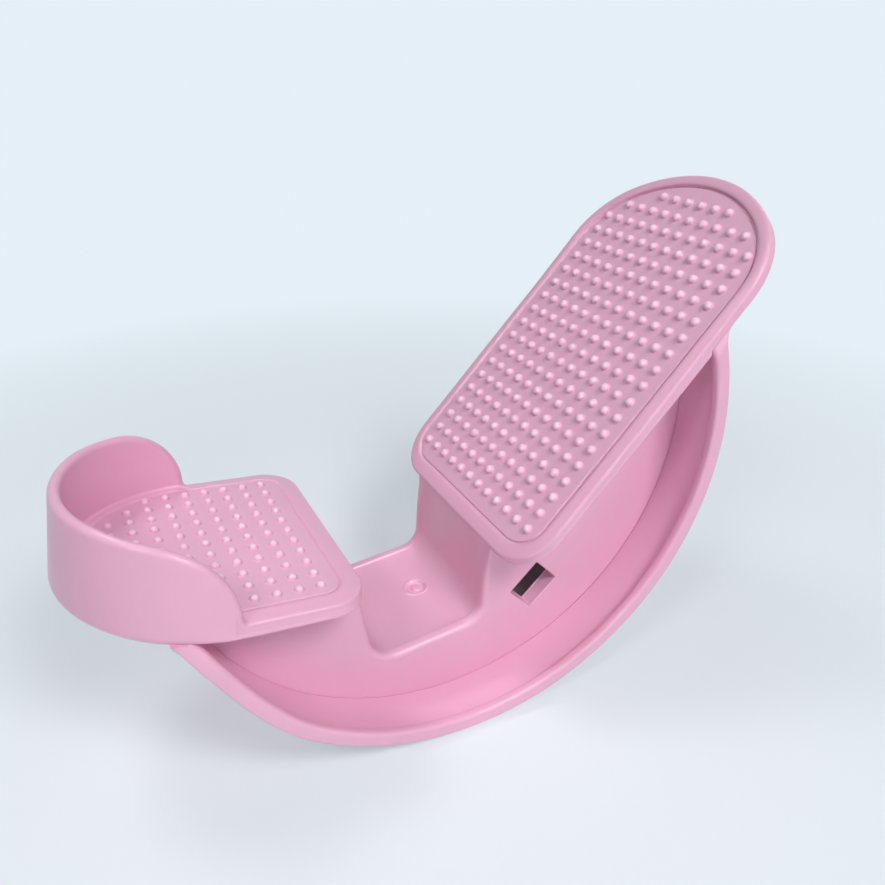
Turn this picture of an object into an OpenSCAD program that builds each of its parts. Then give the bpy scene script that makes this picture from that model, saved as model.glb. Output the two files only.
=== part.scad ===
// Single-foot rocking calf stretcher: a round-soled runner, a hollow centre
// body with a saddle, a cupped heel tray and a raised toe tray, each tray with
// an inset mat of round nubs. All sizes are in millimetres.
// The foot bed is drawn about the centre of the sole's arc, with X towards the
// toes and the heel pad level, then leaned to the angle at which it balances.

/* [Rocker] */
// Radius of the sole's outside
arc_r = 112; // [110:0.5:116]
// Width of the sole
sole_w = 116; // [112:1:120]
// Thickness of the sole plate
sole_t = 3; // [2.9:0.1:3.4]
// Height of the raised edges, from the sole's outside
edge_h = 6.2; // [5.5:0.1:7.5]
// Width of the raised edges
edge_w = 4; // [3:0.5:5]
// Rounding of the sole's bottom edges
sole_round = 1.6; // [0.8:0.2:2]
// Hollow fillet where the sole's toe end meets the toe tray
toe_fillet = 10; // [6:1:14]
// How far the centre of the heel end's rounding is ahead of the cup's centre
heel_trim_in = 10; // [6:1:12]
// Depth of the thick end pads at the heel
end_pad = 12; // [8:1:16]

/* [Foot bed] */
// Height of the heel pad above the sole's lowest line
heel_up = 72.5; // [71:0.5:74]
// Distance from the toe pad to the sole's outside
toe_up = 68.8; // [67:0.2:70]
// Angle between the heel pad and the toe pad
toe_angle = 51.3; // [50:0.1:53]
// Lean at which the board balances, heel high
rest_tilt = 5.7; // [4:0.1:8]

/* [Heel tray] */
// How far the rim is in from the sole's edge
heel_in = 6; // [5:0.5:7]
// Rim's front edge, behind the arc's centre
heel_front = 38; // [37:0.5:39]
// Centre of the round back, behind the arc's centre
heel_back = 86; // [84:0.5:90]
// Front corner radius
heel_corner = 14.4; // [12:0.2:18]
// Rim width from the outside to the recess
heel_rim = 6.4; // [6:0.1:6.8]
// Tray thickness at the rim
heel_t = 5; // [4.6:0.1:5.6]
// How far the lower lip stands out
heel_lip = 1.2; // [0.6:0.1:1.6]
// Height of the lower lip
lip_h = 1.6; // [1:0.1:2]
// Height of the cup's wall above the rim
cup_h = 29; // [24:0.5:32]
// Thickness of the cup's wall
cup_t = 6.4; // [5.6:0.1:6.6]
// Front ends of the cup's wall, behind the arc's centre
cup_front = 83.6; // [82:0.2:85]

/* [Toe tray] */
// How far the rim is in from the sole's edge
toe_in = 1.4; // [1:0.2:3]
// Heel-side edge, along the pad from the foot of the arc's perpendicular
toe_start = 19.2; // [18:0.2:20]
// Toe end, along the pad
toe_end = 162.8; // [161:0.2:168]
// Radius of the toe end
toe_tip_r = 68; // [64:1:72]
// Radius of the shoulders
toe_side_r = 40; // [36:1:44]
// Radius of the heel-side corners
toe_corner = 20; // [16:1:22]
// Rim width from the outside to the recess
toe_rim = 5.2; // [4.6:0.1:5.4]
// Rim width at the heel side
toe_heel_rim = 6.8; // [6:0.1:7.4]
// Tray thickness at the rim
toe_t = 4; // [3.6:0.1:4.6]
// Depth of the skirt below the tray
skirt_h = 1.6; // [1:0.1:2.4]
// Thickness of the skirt
skirt_t = 4; // [3:0.2:5]
// How far the skirt stands out
skirt_lip = 0.8; // [0.4:0.1:1.2]
// How far the skirt ends short of the sole's toe end
skirt_short = 0.8; // [0.4:0.1:2]
// Thickness of the plate under the mat
toe_plate = 1.4; // [1.2:0.1:1.8]

/* [Nub mats] */
// Heel mat thickness
heel_mat_t = 2.6; // [2:0.1:2.8]
// Toe mat thickness
toe_mat_t = 1.4; // [1.2:0.1:1.6]
// Groove between mat and rim
groove = 0.8; // [0.6:0.1:1]
// Distance between nubs
pitch = 8; // [7.7:0.1:8]
// Nub radius
nub_r = 1.9; // [1.6:0.1:1.9]
// First toe row, along the pad
toe_row = -2.8; // [-3.6:0.2:-2]
// First heel row, behind the arc's centre
heel_row = 52.6; // [52:0.2:53.4]

/* [Centre body] */
// Width of the body
body_w = 68; // [66:0.5:72]
// Wall thickness
wall = 2.8; // [2.4:0.1:3.2]
// Deck thickness under the trays
deck_t = 2.8; // [2.4:0.1:3.2]
// Height of the saddle's edge lips
saddle_lip = 1.2; // [0.8:0.1:1.6]
// Width of the saddle's edge lips
saddle_lip_w = 2.4; // [2:0.1:2.6]
// How far the saddle's heel-side wall stands ahead of the heel rim
saddle_ahead = 0.6; // [0.2:0.1:0.9]
// Lean of that wall
saddle_lean = 14.5; // [10:0.5:16]
// How far the saddle's toe-side wall is set in under the toe rim
saddle_set = 0.5; // [0.2:0.1:0.9]
// Height of the saddle's floor above the sole's outside
saddle_up = 29.1; // [27:0.1:32]
// Rise of the saddle's floor towards the toe
saddle_rise = 11.5; // [8:0.5:14]
// Heel-side corner radius
saddle_heel_r = 12; // [10:0.5:14]
// Toe-side corner radius
saddle_toe_r = 9; // [7:0.5:11]
// Diameter of the moulding gate's dimple
gate_d = 8.6; // [6:0.2:10]
// Inner rib thickness
rib_t = 2.4; // [1.8:0.2:3]
// Inner rib height
rib_h = 24; // [18:1:28]
// Thickness of the ribs under the heel
heel_rib_t = 2.9; // [1.6:0.1:3.2]

/* [Link slots] */
// Slot length, along the toe pad
slot_l = 17.2; // [15:0.2:19]
// Slot height, across the toe pad's direction
slot_w = 15; // [13:0.2:16]
// Depth of the slot's collar
slot_deep = 8; // [6:0.5:10]
// Collar wall
slot_wall = 2; // [1.6:0.1:2.4]

/* [Treads] */
// Strip width
tread_w = 12; // [10:0.5:14]
// Strip thickness
tread_t = 2; // [1.6:0.1:2.2]
// How far the strips stand out of the sole
tread_out = 0.8; // [0.6:0.1:1]
// How far the strip's middle is in from the sole's edge
tread_in = 14; // [12:0.5:16]
// Half of the strips' span about the arc's centre, in degrees
tread_angle = 62; // [56:1:64]

/* [Screws] */
// Shank diameter
screw_d = 3; // [2.6:0.1:3.2]
// Sole screw length under the head
sole_screw_l = 12; // [10:0.5:14]
// Sole screw head diameter
sole_head_d = 5.6; // [5.2:0.1:6]
// Sole screw head height
sole_head_h = 1.5; // [1.3:0.1:1.6]
// Tray screw head diameter
tray_head_d = 9.6; // [9.4:0.1:11]
// Tray screw head height
tray_head_h = 1.6; // [1.4:0.1:2]
// Tray boss diameter
boss_d = 7.2; // [6.8:0.1:7.6]
// Screw distance from the middle
screw_y = 20; // [18:0.5:21]

/* [Hidden] */
$fn = 64;
// Gap between seated pieces
fit = 0.1;
// Radial gap around a shank
shank_fit = 0.1;
// How deep the sole screws' heads are sunk
head_sink = 0.3;
// Skin left over a blind hole
skin = 0.8;
// Overlap that joins drawn features into one solid
join = 0.6;
// How far a rounded corner's circle passes its lines
tuck = 0.02;
// Reach of a cutting block
far = 260;
half_sole = sole_w / 2;
half_body = body_w / 2;
heel_half = half_sole - heel_in;
toe_half = half_sole - toe_in;
tread_y = half_sole - tread_in;
heel_drop = arc_r - heel_up;
toe_drop = arc_r - toe_up;
heel_trim = heel_back - heel_trim_in;
sole_in = arc_r - sole_t;
body_r = sole_in - fit;
heel_recess = heel_mat_t + fit;
toe_recess = toe_mat_t + fit;
heel_lip_half = heel_half + heel_lip;
heel_deck = heel_drop + heel_t + fit;
toe_low = toe_t + skirt_h;
toe_deck = toe_drop + toe_low + fit;
saddle_depth = arc_r - saddle_up;
saddle_heel = heel_front - saddle_ahead;
// The toe rim's heel-side edge, ahead of the arc's centre
toe_edge = toe_drop * sin(toe_angle) - toe_start * cos(toe_angle);
saddle_toe = toe_edge + saddle_set;
// Where the sole's toe end meets the toe tray, along the pad
toe_reach = sqrt(pow(arc_r + toe_fillet, 2) - pow(toe_deck + toe_fillet, 2));
skirt_end = toe_reach - skirt_short;
sole_angles = [-42, 4, 50];
// Distance of the front heel screws behind the rim's front edge
heel_screw_in = 15;
// Least distance from a tray screw's head to the sole
head_clear = 1;
head_low = heel_deck + deck_t + 2 * fit + tray_head_h;
heel_screw_end = sqrt(pow(body_r, 2) - pow(head_low, 2)) - tray_head_d / 2 - head_clear;
heel_screw_x = [-heel_front - heel_screw_in, -min(heel_back, heel_screw_end)];
toe_screw_t = [6, 44, 80];
heel_rib_y = [-27.5, -10, 0, 10, 27.5];
// Front end of the ribs under the heel, behind the arc's centre
heel_rib_front = 34;
toe_rows = 20;
heel_rows = 9;
// Least distance from a nub to its mat's edge
nub_edge = 0.2;
heel_mat_inset = heel_rim + groove;
toe_mat_inset = toe_rim + groove;
// Centres of the toe end's arc and of the shoulders' arcs
tip_x = toe_end - toe_tip_r;
shoulder_y = toe_half - toe_side_r;
shoulder_x = tip_x + sqrt(pow(toe_tip_r - toe_side_r, 2) - pow(shoulder_y, 2));
// Middle of the link slot: along the toe pad and below it
slot_t = -22.6;
slot_under = 34.4;
slot_down = toe_drop + slot_under;
slot_x = slot_t * cos(toe_angle) + slot_down * sin(toe_angle);
slot_z = slot_t * sin(toe_angle) - slot_down * cos(toe_angle);
// Angle of the link slot, a little less than the toe pad's
slot_less = 2.8;
slot_turn = toe_angle - slot_less;
// How far the gate's dimple is behind the saddle's toe-side wall
gate_in = 15.3;
gate_x = saddle_toe - gate_in;
gate_deep = 0.6;
gate_button_d = 3.6;
// Gap between the saddle's toe-side wall and the toe tray's skirt
upstand_gap = 0.3;
// How far that wall's top lies below the toe rim
upstand_down = 0.8;
// Thickness of the saddle's floor and walls under the lips
saddle_t = 3;
pink = [0.90, 0.66, 0.78];
pad_pink = [0.87, 0.66, 0.76];
dark_rubber = [0.30, 0.27, 0.29];
steel = [0.72, 0.73, 0.75];

function unit(v) = v / norm(v);
function along(a) = [cos(a), sin(a)];
// Rounded corner between two lines that leave a point: [tangent on a, centre, tangent on b]
function corner(v, a, b, r) =
    let (h = acos(a * b) / 2)
    [v + a * r / tan(h), v + unit(a + b) * r / sin(h), v + b * r / tan(h)];

// Half chord of a circle at a distance past its centre
function chord(r, d) = sqrt(max(0, r * r - pow(max(0, d), 2)));
// Half width that the nubs of a row may fill
function heel_room(x) = chord(heel_half - heel_mat_inset, -heel_back - x) - nub_r - nub_edge;
function toe_room(t) =
    let (side = shoulder_y + chord(toe_side_r - toe_mat_inset, t - shoulder_x))
    let (tip = chord(toe_tip_r - toe_mat_inset, t - tip_x))
    min(side, tip) - nub_r - nub_edge;

// Where the foot bed stands on the floor
module placed() {
    translate([0, 0, arc_r + tread_out]) rotate([0, rest_tilt, 0]) children();
}

// A side drawing, in X and Z, given a width across the board
module across(width) {
    rotate([90, 0, 0]) linear_extrude(width, center = true) children();
}

// The heel tray's frame: Z up from its rim
module at_heel() {
    translate([0, 0, -heel_drop]) children();
}

// The toe tray's frame: X along the pad, Z up from its rim
module at_toe() {
    rotate([0, -toe_angle, 0]) translate([0, 0, -toe_drop]) children();
}

// A frame on the sole's inside, Z towards the arc's centre
module at_sole(angle, radius) {
    rotate([0, -angle, 0]) translate([0, 0, -radius]) children();
}

// Everything below the heel tray and the toe tray, in the side drawing
module below_trays(heel_level, toe_level) {
    difference() {
        circle(r = arc_r + 2 * toe_fillet, $fn = 128);
        translate([-far, -heel_level]) square([far + saddle_toe, far]);
        intersection() {
            translate([saddle_toe - join, -far]) square([far, 2 * far]);
            rotate(toe_angle) translate([-far, -toe_level]) square([2 * far, far]);
        }
    }
}

// The open saddle, grown all round by g
module saddle_void(g) {
    lean = along(90 + saddle_lean);
    wall_out = along(180 + saddle_lean);
    floor_dir = along(saddle_rise);
    floor_at = [0, -saddle_depth] + along(saddle_rise - 90) * g;
    heel_at = [-saddle_heel, -heel_deck] + wall_out * g;
    wall_x = saddle_toe + g;
    heel_run = ((heel_at - floor_at) * wall_out) / (floor_dir * wall_out);
    heel_foot = floor_at + floor_dir * heel_run;
    toe_foot = [wall_x, floor_at[1] + tan(saddle_rise) * (wall_x - floor_at[0])];
    c1 = corner(heel_foot, lean, floor_dir, saddle_heel_r + g);
    c2 = corner(toe_foot, -floor_dir, [0, 1], saddle_toe_r + g);
    heel_top = heel_foot + lean * saddle_depth;
    polygon([heel_top, c1[0], c1[2], c2[0], c2[2], [wall_x, 0], [heel_top[0], 0]]);
    translate(c1[1]) circle(r = saddle_heel_r + g + tuck);
    translate(c2[1]) circle(r = saddle_toe_r + g + tuck);
}

// Plan of the heel tray, moved in by an inset
module heel_plan(inset) {
    half = heel_half - inset;
    front = -heel_front - inset;
    r = heel_corner - inset;
    intersection() {
        translate([-heel_back, 0]) circle(r = half, $fn = 128);
        translate([-far, -far]) square([far - heel_back, 2 * far]);
    }
    translate([-heel_back, -half]) square([heel_back + front - r, 2 * half]);
    translate([-heel_back, r - half]) square([heel_back + front, 2 * (half - r)]);
    for (s = [-1, 1]) translate([front - r, s * (half - r)]) circle(r = r);
}

// Plan of the toe tray, moved in by an inset, with its own inset on the heel side
module toe_plan(inset, heel_inset) {
    half = toe_half - inset;
    start = -toe_start + heel_inset;
    r = toe_corner - inset;
    touch = unit([shoulder_x - tip_x, shoulder_y]) * (toe_tip_r - inset);
    for (s = [-1, 1]) {
        translate([start + r, s * (half - r)]) circle(r = r);
        translate([shoulder_x, s * shoulder_y]) circle(r = toe_side_r - inset);
    }
    translate([start, r - half]) square([shoulder_x - start, 2 * (half - r)]);
    translate([start + r, -half]) square([shoulder_x - start - r, 2 * half]);
    intersection() {
        translate([tip_x, 0]) circle(r = toe_tip_r - inset, $fn = 128);
        polygon([[tip_x, 0], [tip_x, 0] + touch * 2, [tip_x, 0] + [touch[0], -touch[1]] * 2]);
    }
}

// Cross-section of the sole: plate, raised edges and rounded bottom edges
module sole_section() {
    bead = edge_w / 2;
    translate([sole_in, -half_sole + sole_round]) square([sole_t, sole_w - 2 * sole_round]);
    for (s = [-1, 1]) {
        translate([arc_r - edge_h + bead, s * (half_sole - bead)]) circle(r = bead);
        translate([arc_r - sole_round, s * (half_sole - sole_round)]) circle(r = sole_round);
        translate([arc_r - edge_h + bead, s * (half_sole - bead) - bead])
            square([edge_h - bead - sole_round, edge_w]);
    }
}

// A ring about the arc's axis, from a section of radius and width
module ring() {
    rotate([90, 0, 0]) rotate_extrude($fn = 180) children();
}

// A band on the sole under one tread strip
module tread_band(side, inner, outer, width, span) {
    rotate([90, 0, 0]) rotate([0, 0, 270 + rest_tilt - span])
        rotate_extrude(angle = 2 * span, $fn = 180)
            translate([inner, -side * tread_y - width / 2]) square([outer - inner, width]);
}

module sole_plan() {
    translate([-heel_trim, -half_sole]) square([far, sole_w]);
    translate([-heel_trim, 0]) circle(r = half_sole, $fn = 128);
}

// Hollow fillet from the sole's outside to the toe tray's underside
module toe_gusset() {
    low = toe_deck;
    meet = sqrt(pow(sole_in, 2) - pow(low, 2));
    hub = [toe_reach, -low - toe_fillet];
    touch = unit(hub) * arc_r;
    rotate(toe_angle) difference() {
        polygon([[meet, -low], [toe_reach, -low], touch, unit(hub) * (sole_in + join)]);
        translate(hub) circle(r = toe_fillet + tuck);
    }
}

module rocker_runner() color(pink) placed() {
    difference() {
        union() {
            intersection() {
                ring() sole_section();
                across(sole_w + 2) below_trays(heel_deck, toe_deck);
                translate([0, 0, -far]) linear_extrude(2 * far) sole_plan();
            }
            intersection() {
                ring() translate([arc_r - edge_h, -half_sole]) square([edge_h - join, sole_w]);
                across(sole_w + 2) translate([-far, -heel_deck - end_pad]) square([far - heel_trim, end_pad]);
                translate([0, 0, -far]) linear_extrude(2 * far) difference() {
                    sole_plan();
                    translate([-far, -half_body - fit]) square([2 * far, body_w + 2 * fit]);
                }
            }
            across(sole_w) toe_gusset();
        }
        for (s = [-1, 1])
            tread_band(s, arc_r + tread_out - tread_t - fit, arc_r + 1, tread_w + 2 * fit, tread_angle + fit);
        for (a = sole_angles, s = [-1, 1]) at_sole(a, arc_r) translate([0, s * screw_y, -1]) {
            cylinder(d = screw_d + 2 * shank_fit, h = sole_t + 2);
            cylinder(d = sole_head_d + 2 * shank_fit, h = 1 + head_sink + sole_head_h + fit);
        }
    }
}

// The body's outer side drawing
module body_side() {
    difference() {
        union() {
            intersection() {
                circle(r = body_r, $fn = 180);
                below_trays(heel_deck, toe_deck);
            }
            rotate(toe_angle) translate([-toe_start - skirt_lip - upstand_gap - saddle_toe, -toe_deck - wall])
                square([saddle_toe, toe_low + fit + wall - upstand_down]);
        }
        saddle_void(0);
    }
}

// The body's hollow, out to a radius at the sole
module body_hollow(radius) {
    difference() {
        intersection() {
            circle(r = radius, $fn = 180);
            below_trays(heel_deck + deck_t, toe_deck + deck_t);
        }
        saddle_void(saddle_lip + saddle_t);
    }
}

module slot_box(grow, deep) {
    translate([slot_x, 0, slot_z]) rotate([0, -slot_turn, 0])
        cube([slot_l + 2 * grow, deep, slot_w + 2 * grow], center = true);
}

module at_gate() {
    translate([gate_x, 0, tan(saddle_rise) * gate_x - saddle_depth]) rotate([0, -saddle_rise, 0])
        translate([0, 0, -saddle_lip - gate_deep]) children();
}

module centre_body() color(pink) placed() {
    inner = body_w - 2 * wall;
    difference() {
        union() {
            difference() {
                across(body_w) body_side();
                across(inner) body_hollow(body_r + join);
                across(body_w - 2 * saddle_lip_w) saddle_void(saddle_lip);
            }
            intersection() {
                across(inner + join) body_hollow(body_r);
                union() {
                    for (a = sole_angles) at_sole(a, arc_r)
                        translate([-rib_t / 2, -half_body, 0]) cube([rib_t, body_w, sole_t + rib_h]);
                    for (y = heel_rib_y) translate([-far, y - heel_rib_t / 2, -far])
                        cube([far - heel_rib_front, heel_rib_t, far]);
                    for (a = sole_angles, s = [-1, 1]) at_sole(a, arc_r) translate([0, s * screw_y, 0])
                        cylinder(d = boss_d, h = sole_t + sole_screw_l + 2);
                    for (s = [-1, 1]) translate([0, s * (half_body - slot_deep / 2), 0])
                        slot_box(slot_wall, slot_deep);
                }
            }
        }
        slot_box(0, 2 * body_w);
        at_gate() difference() {
            cylinder(d = gate_d, h = gate_deep + 1);
            cylinder(d = gate_button_d, h = gate_deep);
        }
        for (a = sole_angles, s = [-1, 1]) at_sole(a, body_r) translate([0, s * screw_y, -1])
            cylinder(d = screw_d + 2 * shank_fit, h = sole_screw_l + 1);
        for (x = heel_screw_x, s = [-1, 1]) at_heel() translate([x, s * screw_y, -heel_t - deck_t - 1])
            cylinder(d = boss_d + 2 * fit, h = deck_t + 2);
        for (t = toe_screw_t, s = [-1, 1]) at_toe() translate([t, s * screw_y, -toe_low - deck_t - 1])
            cylinder(d = boss_d + 2 * fit, h = deck_t + 2);
    }
}

// The cup's side drawing: level at the back, round at its falling front ends
module cup_side() {
    centre = -cup_front - cup_h;
    translate([-far, -heel_t]) square([far + centre, cup_h + heel_t]);
    translate([centre, 0]) circle(r = cup_h);
    translate([centre, -heel_t]) square([cup_h, heel_t]);
}

module heel_tray() color(pink) placed() at_heel() {
    boss_l = deck_t - fit;
    difference() {
        union() {
            translate([0, 0, -heel_t]) linear_extrude(heel_t) heel_plan(0);
            translate([0, 0, -heel_t]) linear_extrude(lip_h) heel_plan(-heel_lip);
            intersection() {
                translate([0, 0, -heel_t]) linear_extrude(heel_t + cup_h) difference() {
                    heel_plan(-heel_lip);
                    heel_plan(cup_t - heel_lip);
                }
                across(2 * far) cup_side();
            }
            for (x = heel_screw_x, s = [-1, 1]) translate([x, s * screw_y, -heel_t - boss_l])
                cylinder(d = boss_d, h = boss_l + join);
        }
        translate([0, 0, -heel_recess]) linear_extrude(cup_h) heel_plan(heel_rim);
        for (x = heel_screw_x, s = [-1, 1]) translate([x, s * screw_y, -heel_t - boss_l - 1])
            cylinder(d = screw_d + 2 * shank_fit, h = 1 + boss_l + heel_t - heel_recess - skin);
    }
}

module toe_tray() color(pink) placed() at_toe() {
    boss_l = skirt_h + deck_t - fit;
    boss_h = toe_t + boss_l - toe_recess;
    pad_h = toe_low - toe_recess;
    difference() {
        union() {
            difference() {
                translate([0, 0, -toe_t]) linear_extrude(toe_t) toe_plan(0, 0);
                translate([0, 0, -2 * toe_t]) linear_extrude(2 * toe_t - toe_recess - toe_plate)
                    toe_plan(skirt_t, skirt_t);
            }
            intersection() {
                translate([0, 0, -toe_low]) linear_extrude(skirt_h + join) difference() {
                    toe_plan(-skirt_lip, -skirt_lip);
                    toe_plan(skirt_t, skirt_t);
                }
                translate([-far, -far, -far]) cube([far + skirt_end, 2 * far, 2 * far]);
            }
            for (t = toe_screw_t, s = [-1, 1]) translate([t, s * screw_y, -toe_recess]) {
                translate([0, 0, -boss_h]) cylinder(d = boss_d, h = boss_h - join);
                translate([0, 0, -pad_h]) cylinder(d = boss_d + 2 * wall, h = pad_h - join);
            }
        }
        translate([0, 0, -toe_recess]) linear_extrude(toe_t) toe_plan(toe_rim, toe_heel_rim);
        for (t = toe_screw_t, s = [-1, 1]) translate([t, s * screw_y, -toe_t - boss_l - 1])
            cylinder(d = screw_d + 2 * shank_fit, h = 1 + boss_l + toe_t - toe_recess - skin);
    }
}

module nub_row(count) {
    for (i = [0 : count - 1]) translate([0, (i - (count - 1) / 2) * pitch, 0])
        rotate_extrude($fn = 24) intersection() {
            circle(r = nub_r);
            translate([0, -join]) square([nub_r, nub_r + join]);
        }
}

module heel_nub_mat() color(pad_pink) placed() at_heel() {
    translate([0, 0, -heel_mat_t]) linear_extrude(heel_mat_t) heel_plan(heel_mat_inset);
    for (i = [0 : heel_rows - 1]) let (x = -heel_row - i * pitch)
        translate([x, 0, 0]) nub_row(2 * floor(heel_room(x) / pitch) + 1);
}

module toe_nub_mat() color(pad_pink) placed() at_toe() {
    translate([0, 0, -toe_mat_t]) linear_extrude(toe_mat_t) toe_plan(toe_mat_inset, toe_heel_rim + groove);
    for (i = [0 : toe_rows - 1]) let (t = toe_row + i * pitch)
        translate([t, 0, 0]) nub_row(2 * floor(toe_room(t) / pitch + 0.5));
}

module tread_strip(side) color(dark_rubber) placed()
    tread_band(side, arc_r + tread_out - tread_t, arc_r + tread_out, tread_w, tread_angle);

module left_tread_strip() tread_strip(1);

module right_tread_strip() tread_strip(-1);

module runner_screws() color(steel) placed()
    for (a = sole_angles, s = [-1, 1]) at_sole(a, arc_r) translate([0, s * screw_y, head_sink]) {
        cylinder(d = sole_head_d, h = sole_head_h);
        cylinder(d = screw_d, h = sole_screw_l + sole_head_h);
    }

// A tray screw: its head is under the deck and its shank goes up into the tray
module tray_screw(length) {
    translate([0, 0, -tray_head_h]) cylinder(d = tray_head_d, h = tray_head_h);
    translate([0, 0, -join]) cylinder(d = screw_d, h = length + join);
}

module heel_tray_screws() color(steel) placed() at_heel()
    for (x = heel_screw_x, s = [-1, 1]) translate([x, s * screw_y, -heel_t - deck_t - 2 * fit])
        tray_screw(deck_t + heel_t - heel_recess - skin - 2 * fit);

module toe_tray_screws() color(steel) placed() at_toe()
    for (t = toe_screw_t, s = [-1, 1]) translate([t, s * screw_y, -toe_low - deck_t - 2 * fit])
        tray_screw(deck_t + toe_low - toe_recess - skin - 2 * fit);

rocker_runner();
centre_body();
heel_tray();
toe_tray();
heel_nub_mat();
toe_nub_mat();
left_tread_strip();
right_tread_strip();
runner_screws();
heel_tray_screws();
toe_tray_screws();
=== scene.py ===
import math

import bmesh
import bpy
import numpy as np
from mathutils import Matrix, Vector
from mathutils.geometry import delaunay_2d_cdt


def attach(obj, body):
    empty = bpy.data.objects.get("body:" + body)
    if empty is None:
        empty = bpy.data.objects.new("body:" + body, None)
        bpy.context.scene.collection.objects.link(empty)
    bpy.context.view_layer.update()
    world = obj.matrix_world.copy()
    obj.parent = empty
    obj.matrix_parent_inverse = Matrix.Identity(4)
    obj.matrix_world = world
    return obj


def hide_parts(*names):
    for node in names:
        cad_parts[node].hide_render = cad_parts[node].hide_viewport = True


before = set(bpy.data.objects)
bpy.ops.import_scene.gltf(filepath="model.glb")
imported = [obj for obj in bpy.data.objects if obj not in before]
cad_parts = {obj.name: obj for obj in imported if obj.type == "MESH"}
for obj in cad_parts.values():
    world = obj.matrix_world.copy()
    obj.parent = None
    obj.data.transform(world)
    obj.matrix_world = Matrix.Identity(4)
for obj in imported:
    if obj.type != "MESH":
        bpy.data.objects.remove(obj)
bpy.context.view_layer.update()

# Frames. Sizes are in millimetres about the centre of the sole's arc, X to the toe.
LEAN = math.radians(5.7)
LIFT = 112.8
HEEL_DROP = 39.5
TOE_DROP = 43.2
TOE_ANGLE = math.radians(51.3)
MM = 0.001


def as_points(points):
    return np.asarray(points, float).reshape(-1, 3)


def from_arc(points):
    p = as_points(points)
    x = p[:, 0] * math.cos(LEAN) + p[:, 2] * math.sin(LEAN)
    z = -p[:, 0] * math.sin(LEAN) + p[:, 2] * math.cos(LEAN) + LIFT
    return np.stack([x, p[:, 1], z], 1) * MM


def from_heel(points):
    return from_arc(as_points(points) - (0, 0, HEEL_DROP))


def from_toe(points):
    p = as_points(points)
    down = p[:, 2] - TOE_DROP
    x = p[:, 0] * math.cos(TOE_ANGLE) - down * math.sin(TOE_ANGLE)
    z = p[:, 0] * math.sin(TOE_ANGLE) + down * math.cos(TOE_ANGLE)
    return from_arc(np.stack([x, p[:, 1], z], 1))


def steps(a, b, count):
    return [a + (b - a) * i / count for i in range(count + 1)]


def clamp(v):
    return min(1.0, max(0.0, v))


def ease(v):
    v = clamp(v)
    return v * v * (3 - 2 * v)


def mix(a, b, f):
    return a + (b - a) * f


def share(v, span):
    """How far along a span a value lies, eased at both ends."""
    return ease((v - span[0]) / (span[1] - span[0]))


def ring_points(centre, radius, a, b, count):
    turn = [math.radians(v) for v in steps(a, b, count)]
    return [(centre[0] + radius * math.cos(t), centre[1] + radius * math.sin(t)) for t in turn]


def turned(profile, sides, u=0.0, v=0.0):
    """A ring of points about (u, v) for each (radius, height) of a turned shape."""
    turn = [2 * math.pi * k / sides for k in range(sides)]
    return [[(u + r * math.cos(a), v + r * math.sin(a), z) for a in turn] for r, z in profile]


def along(a):
    """The direction at an angle in degrees."""
    return np.array([math.cos(math.radians(a)), math.sin(math.radians(a))])


def both_sides(half):
    """A closed loop of (y, height) from the half that starts and ends on the middle line."""
    return half + [(-y, h) for y, h in reversed(half[1:-1])]


def inside(ring, x, z):
    """Whether a point lies within a closed loop."""
    a = ring
    b = np.roll(ring, -1, 0)
    cross = (a[:, 1] > z) != (b[:, 1] > z)
    with np.errstate(divide="ignore", invalid="ignore"):
        at = a[:, 0] + (z - a[:, 1]) * (b[:, 0] - a[:, 0]) / (b[:, 1] - a[:, 1])
    return bool(np.count_nonzero(cross & (x < at)) % 2)


# Meshes. Edges steeper than the sharp angles, in degrees, stay sharp.
SHARP = 32
SHARP_BODY = 30
# Points closer than this are one, and edges shorter than this go, in metres
MERGE_AT = 2e-6
THIN_AT = 1e-6
# How a flat face is filled: only within its loops, and how near two points count as one
FILL_INSIDE = 1
FILL_NEAR = 1e-6


class Shell:
    """Vertices and faces of one piece, in the piece's own frame."""

    def __init__(self):
        self.verts = []
        self.faces = []
        self.kinds = []
        self.second = False

    def face(self, ids):
        self.faces.append(tuple(ids))
        self.kinds.append(int(self.second))

    def add(self, points):
        first = len(self.verts)
        self.verts.extend(tuple(map(float, p)) for p in points)
        return list(range(first, len(self.verts)))

    def strip(self, a, b, closed=True):
        count = len(a)
        for i in range(count if closed else count - 1):
            j = (i + 1) % count
            self.face((a[i], a[j], b[j], b[i]))

    def loft(self, rows, closed=True):
        """Rows of points of one length, joined row to row; closed joins each row's ends."""
        ids = [self.add(row) for row in rows]
        for a, b in zip(ids, ids[1:]):
            self.strip(a, b, closed)
        return ids

    def solid(self, rows):
        """Lofted rows with a face over the first and the last one."""
        ids = self.loft(rows)
        self.face(ids[0])
        self.face(ids[-1])

    def fill(self, loops, place, keep):
        """A flat face with holes: loops of (u, v, index), filled with triangles."""
        points = []
        index = []
        edges = []
        for loop in loops:
            first = len(points)
            for u, v, i in loop:
                points.append(Vector((u, v)))
                index.append(i)
            count = len(loop)
            edges.extend((first + k, first + (k + 1) % count) for k in range(count))
        out = delaunay_2d_cdt(points, edges, [], FILL_INSIDE, FILL_NEAR)
        spots, tris, source = out[0], out[2], out[3]
        ids = []
        for k, spot in enumerate(spots):
            if source[k]:
                ids.append(index[source[k][0]])
            else:
                ids.append(self.add([place(spot.x, spot.y)])[0])
        for tri in tris:
            mid = sum((spots[k] for k in tri), Vector((0, 0))) / len(tri)
            if keep(mid.x, mid.y):
                self.face(ids[k] for k in tri)


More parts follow.
